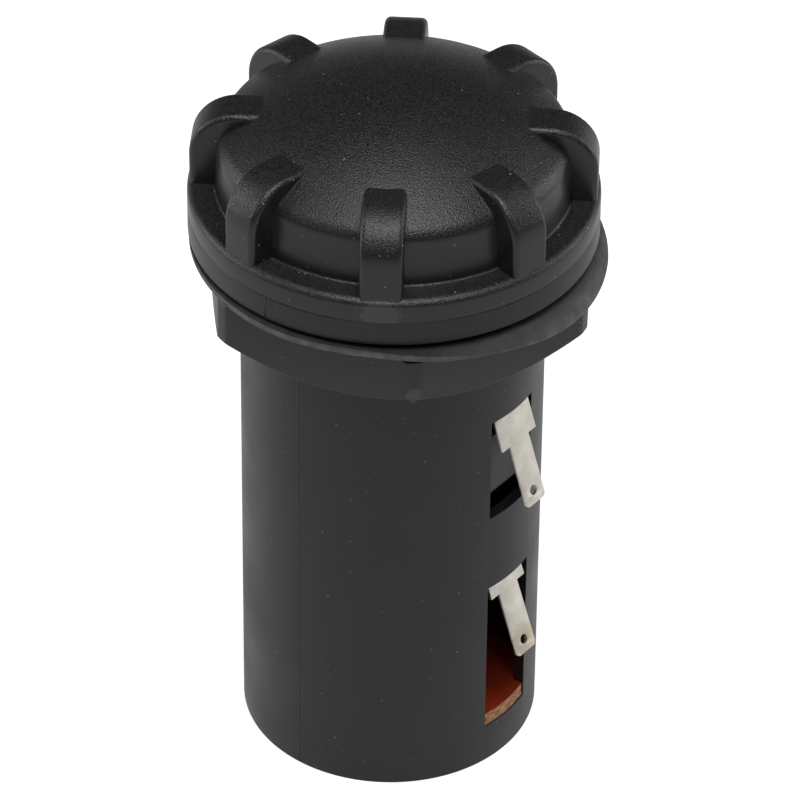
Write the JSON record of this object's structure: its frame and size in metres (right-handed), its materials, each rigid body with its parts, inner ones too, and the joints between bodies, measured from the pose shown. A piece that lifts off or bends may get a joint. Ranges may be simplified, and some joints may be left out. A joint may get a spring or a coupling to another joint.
{
  "type": "panel-mount cell holder",
  "caption": "Tubular panel-mount cell holder with a domed, lugged screw cap, hexagonal panel nut, rubber gasket and side solder tags.",
  "frame": {"origin": "centre of the flange's underside, the face that seals on the panel, on the tube's axis", "axes": "+Z along the tube's axis, out through the screw cap; both solder tags leave the tube through windows on +X"},
  "size_m": [0.0521, 0.0516, 0.0952],
  "materials": {
    "body_plastic": "black moulded nylon, satin",
    "cap_plastic": "black moulded nylon with a fine spark-eroded grain on the crown",
    "nut_plastic": "black moulded nylon, satin",
    "gasket_rubber": "black sheet rubber with a paler cut edge",
    "seal_rubber": "black moulded rubber",
    "plated_strip": "tin-plated brass strip, satin",
    "spring_wire": "nickel-plated spring wire",
    "laminate": "phenolic paper laminate with a rough punched edge",
    "rivet_metal": "nickel-plated brass"
  },
  "bodies": {
    "holder": {"body": "body_plastic", "upper_terminal": "plated_strip", "insulating_disc": "laminate", "contact_spring": "spring_wire", "cap_seal": "seal_rubber"},
    "cap_contact": {"cap_contact": "plated_strip"},
    "cap": {"cap": "cap_plastic", "cap_rivet": "rivet_metal"},
    "gasket": {"panel_gasket": "gasket_rubber"},
    "nut": {"panel_nut": "nut_plastic"},
    "negative_contact": {"lower_terminal": "plated_strip"}
  },
  "joints": [
    {"name": "cap_lift", "type": "slide", "parent": "holder", "child": "cap_contact", "axis": [0, 0, 1], "range_m": [0, 0.007]},
    {"name": "cap_turn", "type": "hinge", "parent": "cap_contact", "child": "cap", "pos_m": [0, 0, 0], "axis": [0, 0, 1], "range_deg": [0, 721]},
    {"name": "nut_travel", "type": "slide", "parent": "holder", "child": "gasket", "axis": [0, 0, -1], "range_m": [-0.0004, 0.008]},
    {"name": "nut_turn", "type": "hinge", "parent": "gasket", "child": "nut", "pos_m": [0, 0, 0], "axis": [0, 0, -1], "range_deg": [-73, 1441]},
    {"name": "contact_press", "type": "slide", "parent": "holder", "child": "negative_contact", "axis": [0, 0, -1], "range_m": [0, 0.01], "stiffness_N_per_m": 400, "springref_m": -0.004, "deforming": ["contact_spring"]}
  ],
  "couplings": [
    {"joint": "cap_turn", "follows": "cap_lift", "rad_per_m": 1795.2},
    {"joint": "nut_turn", "follows": "nut_travel", "rad_per_m": 3141.6}
  ]
}
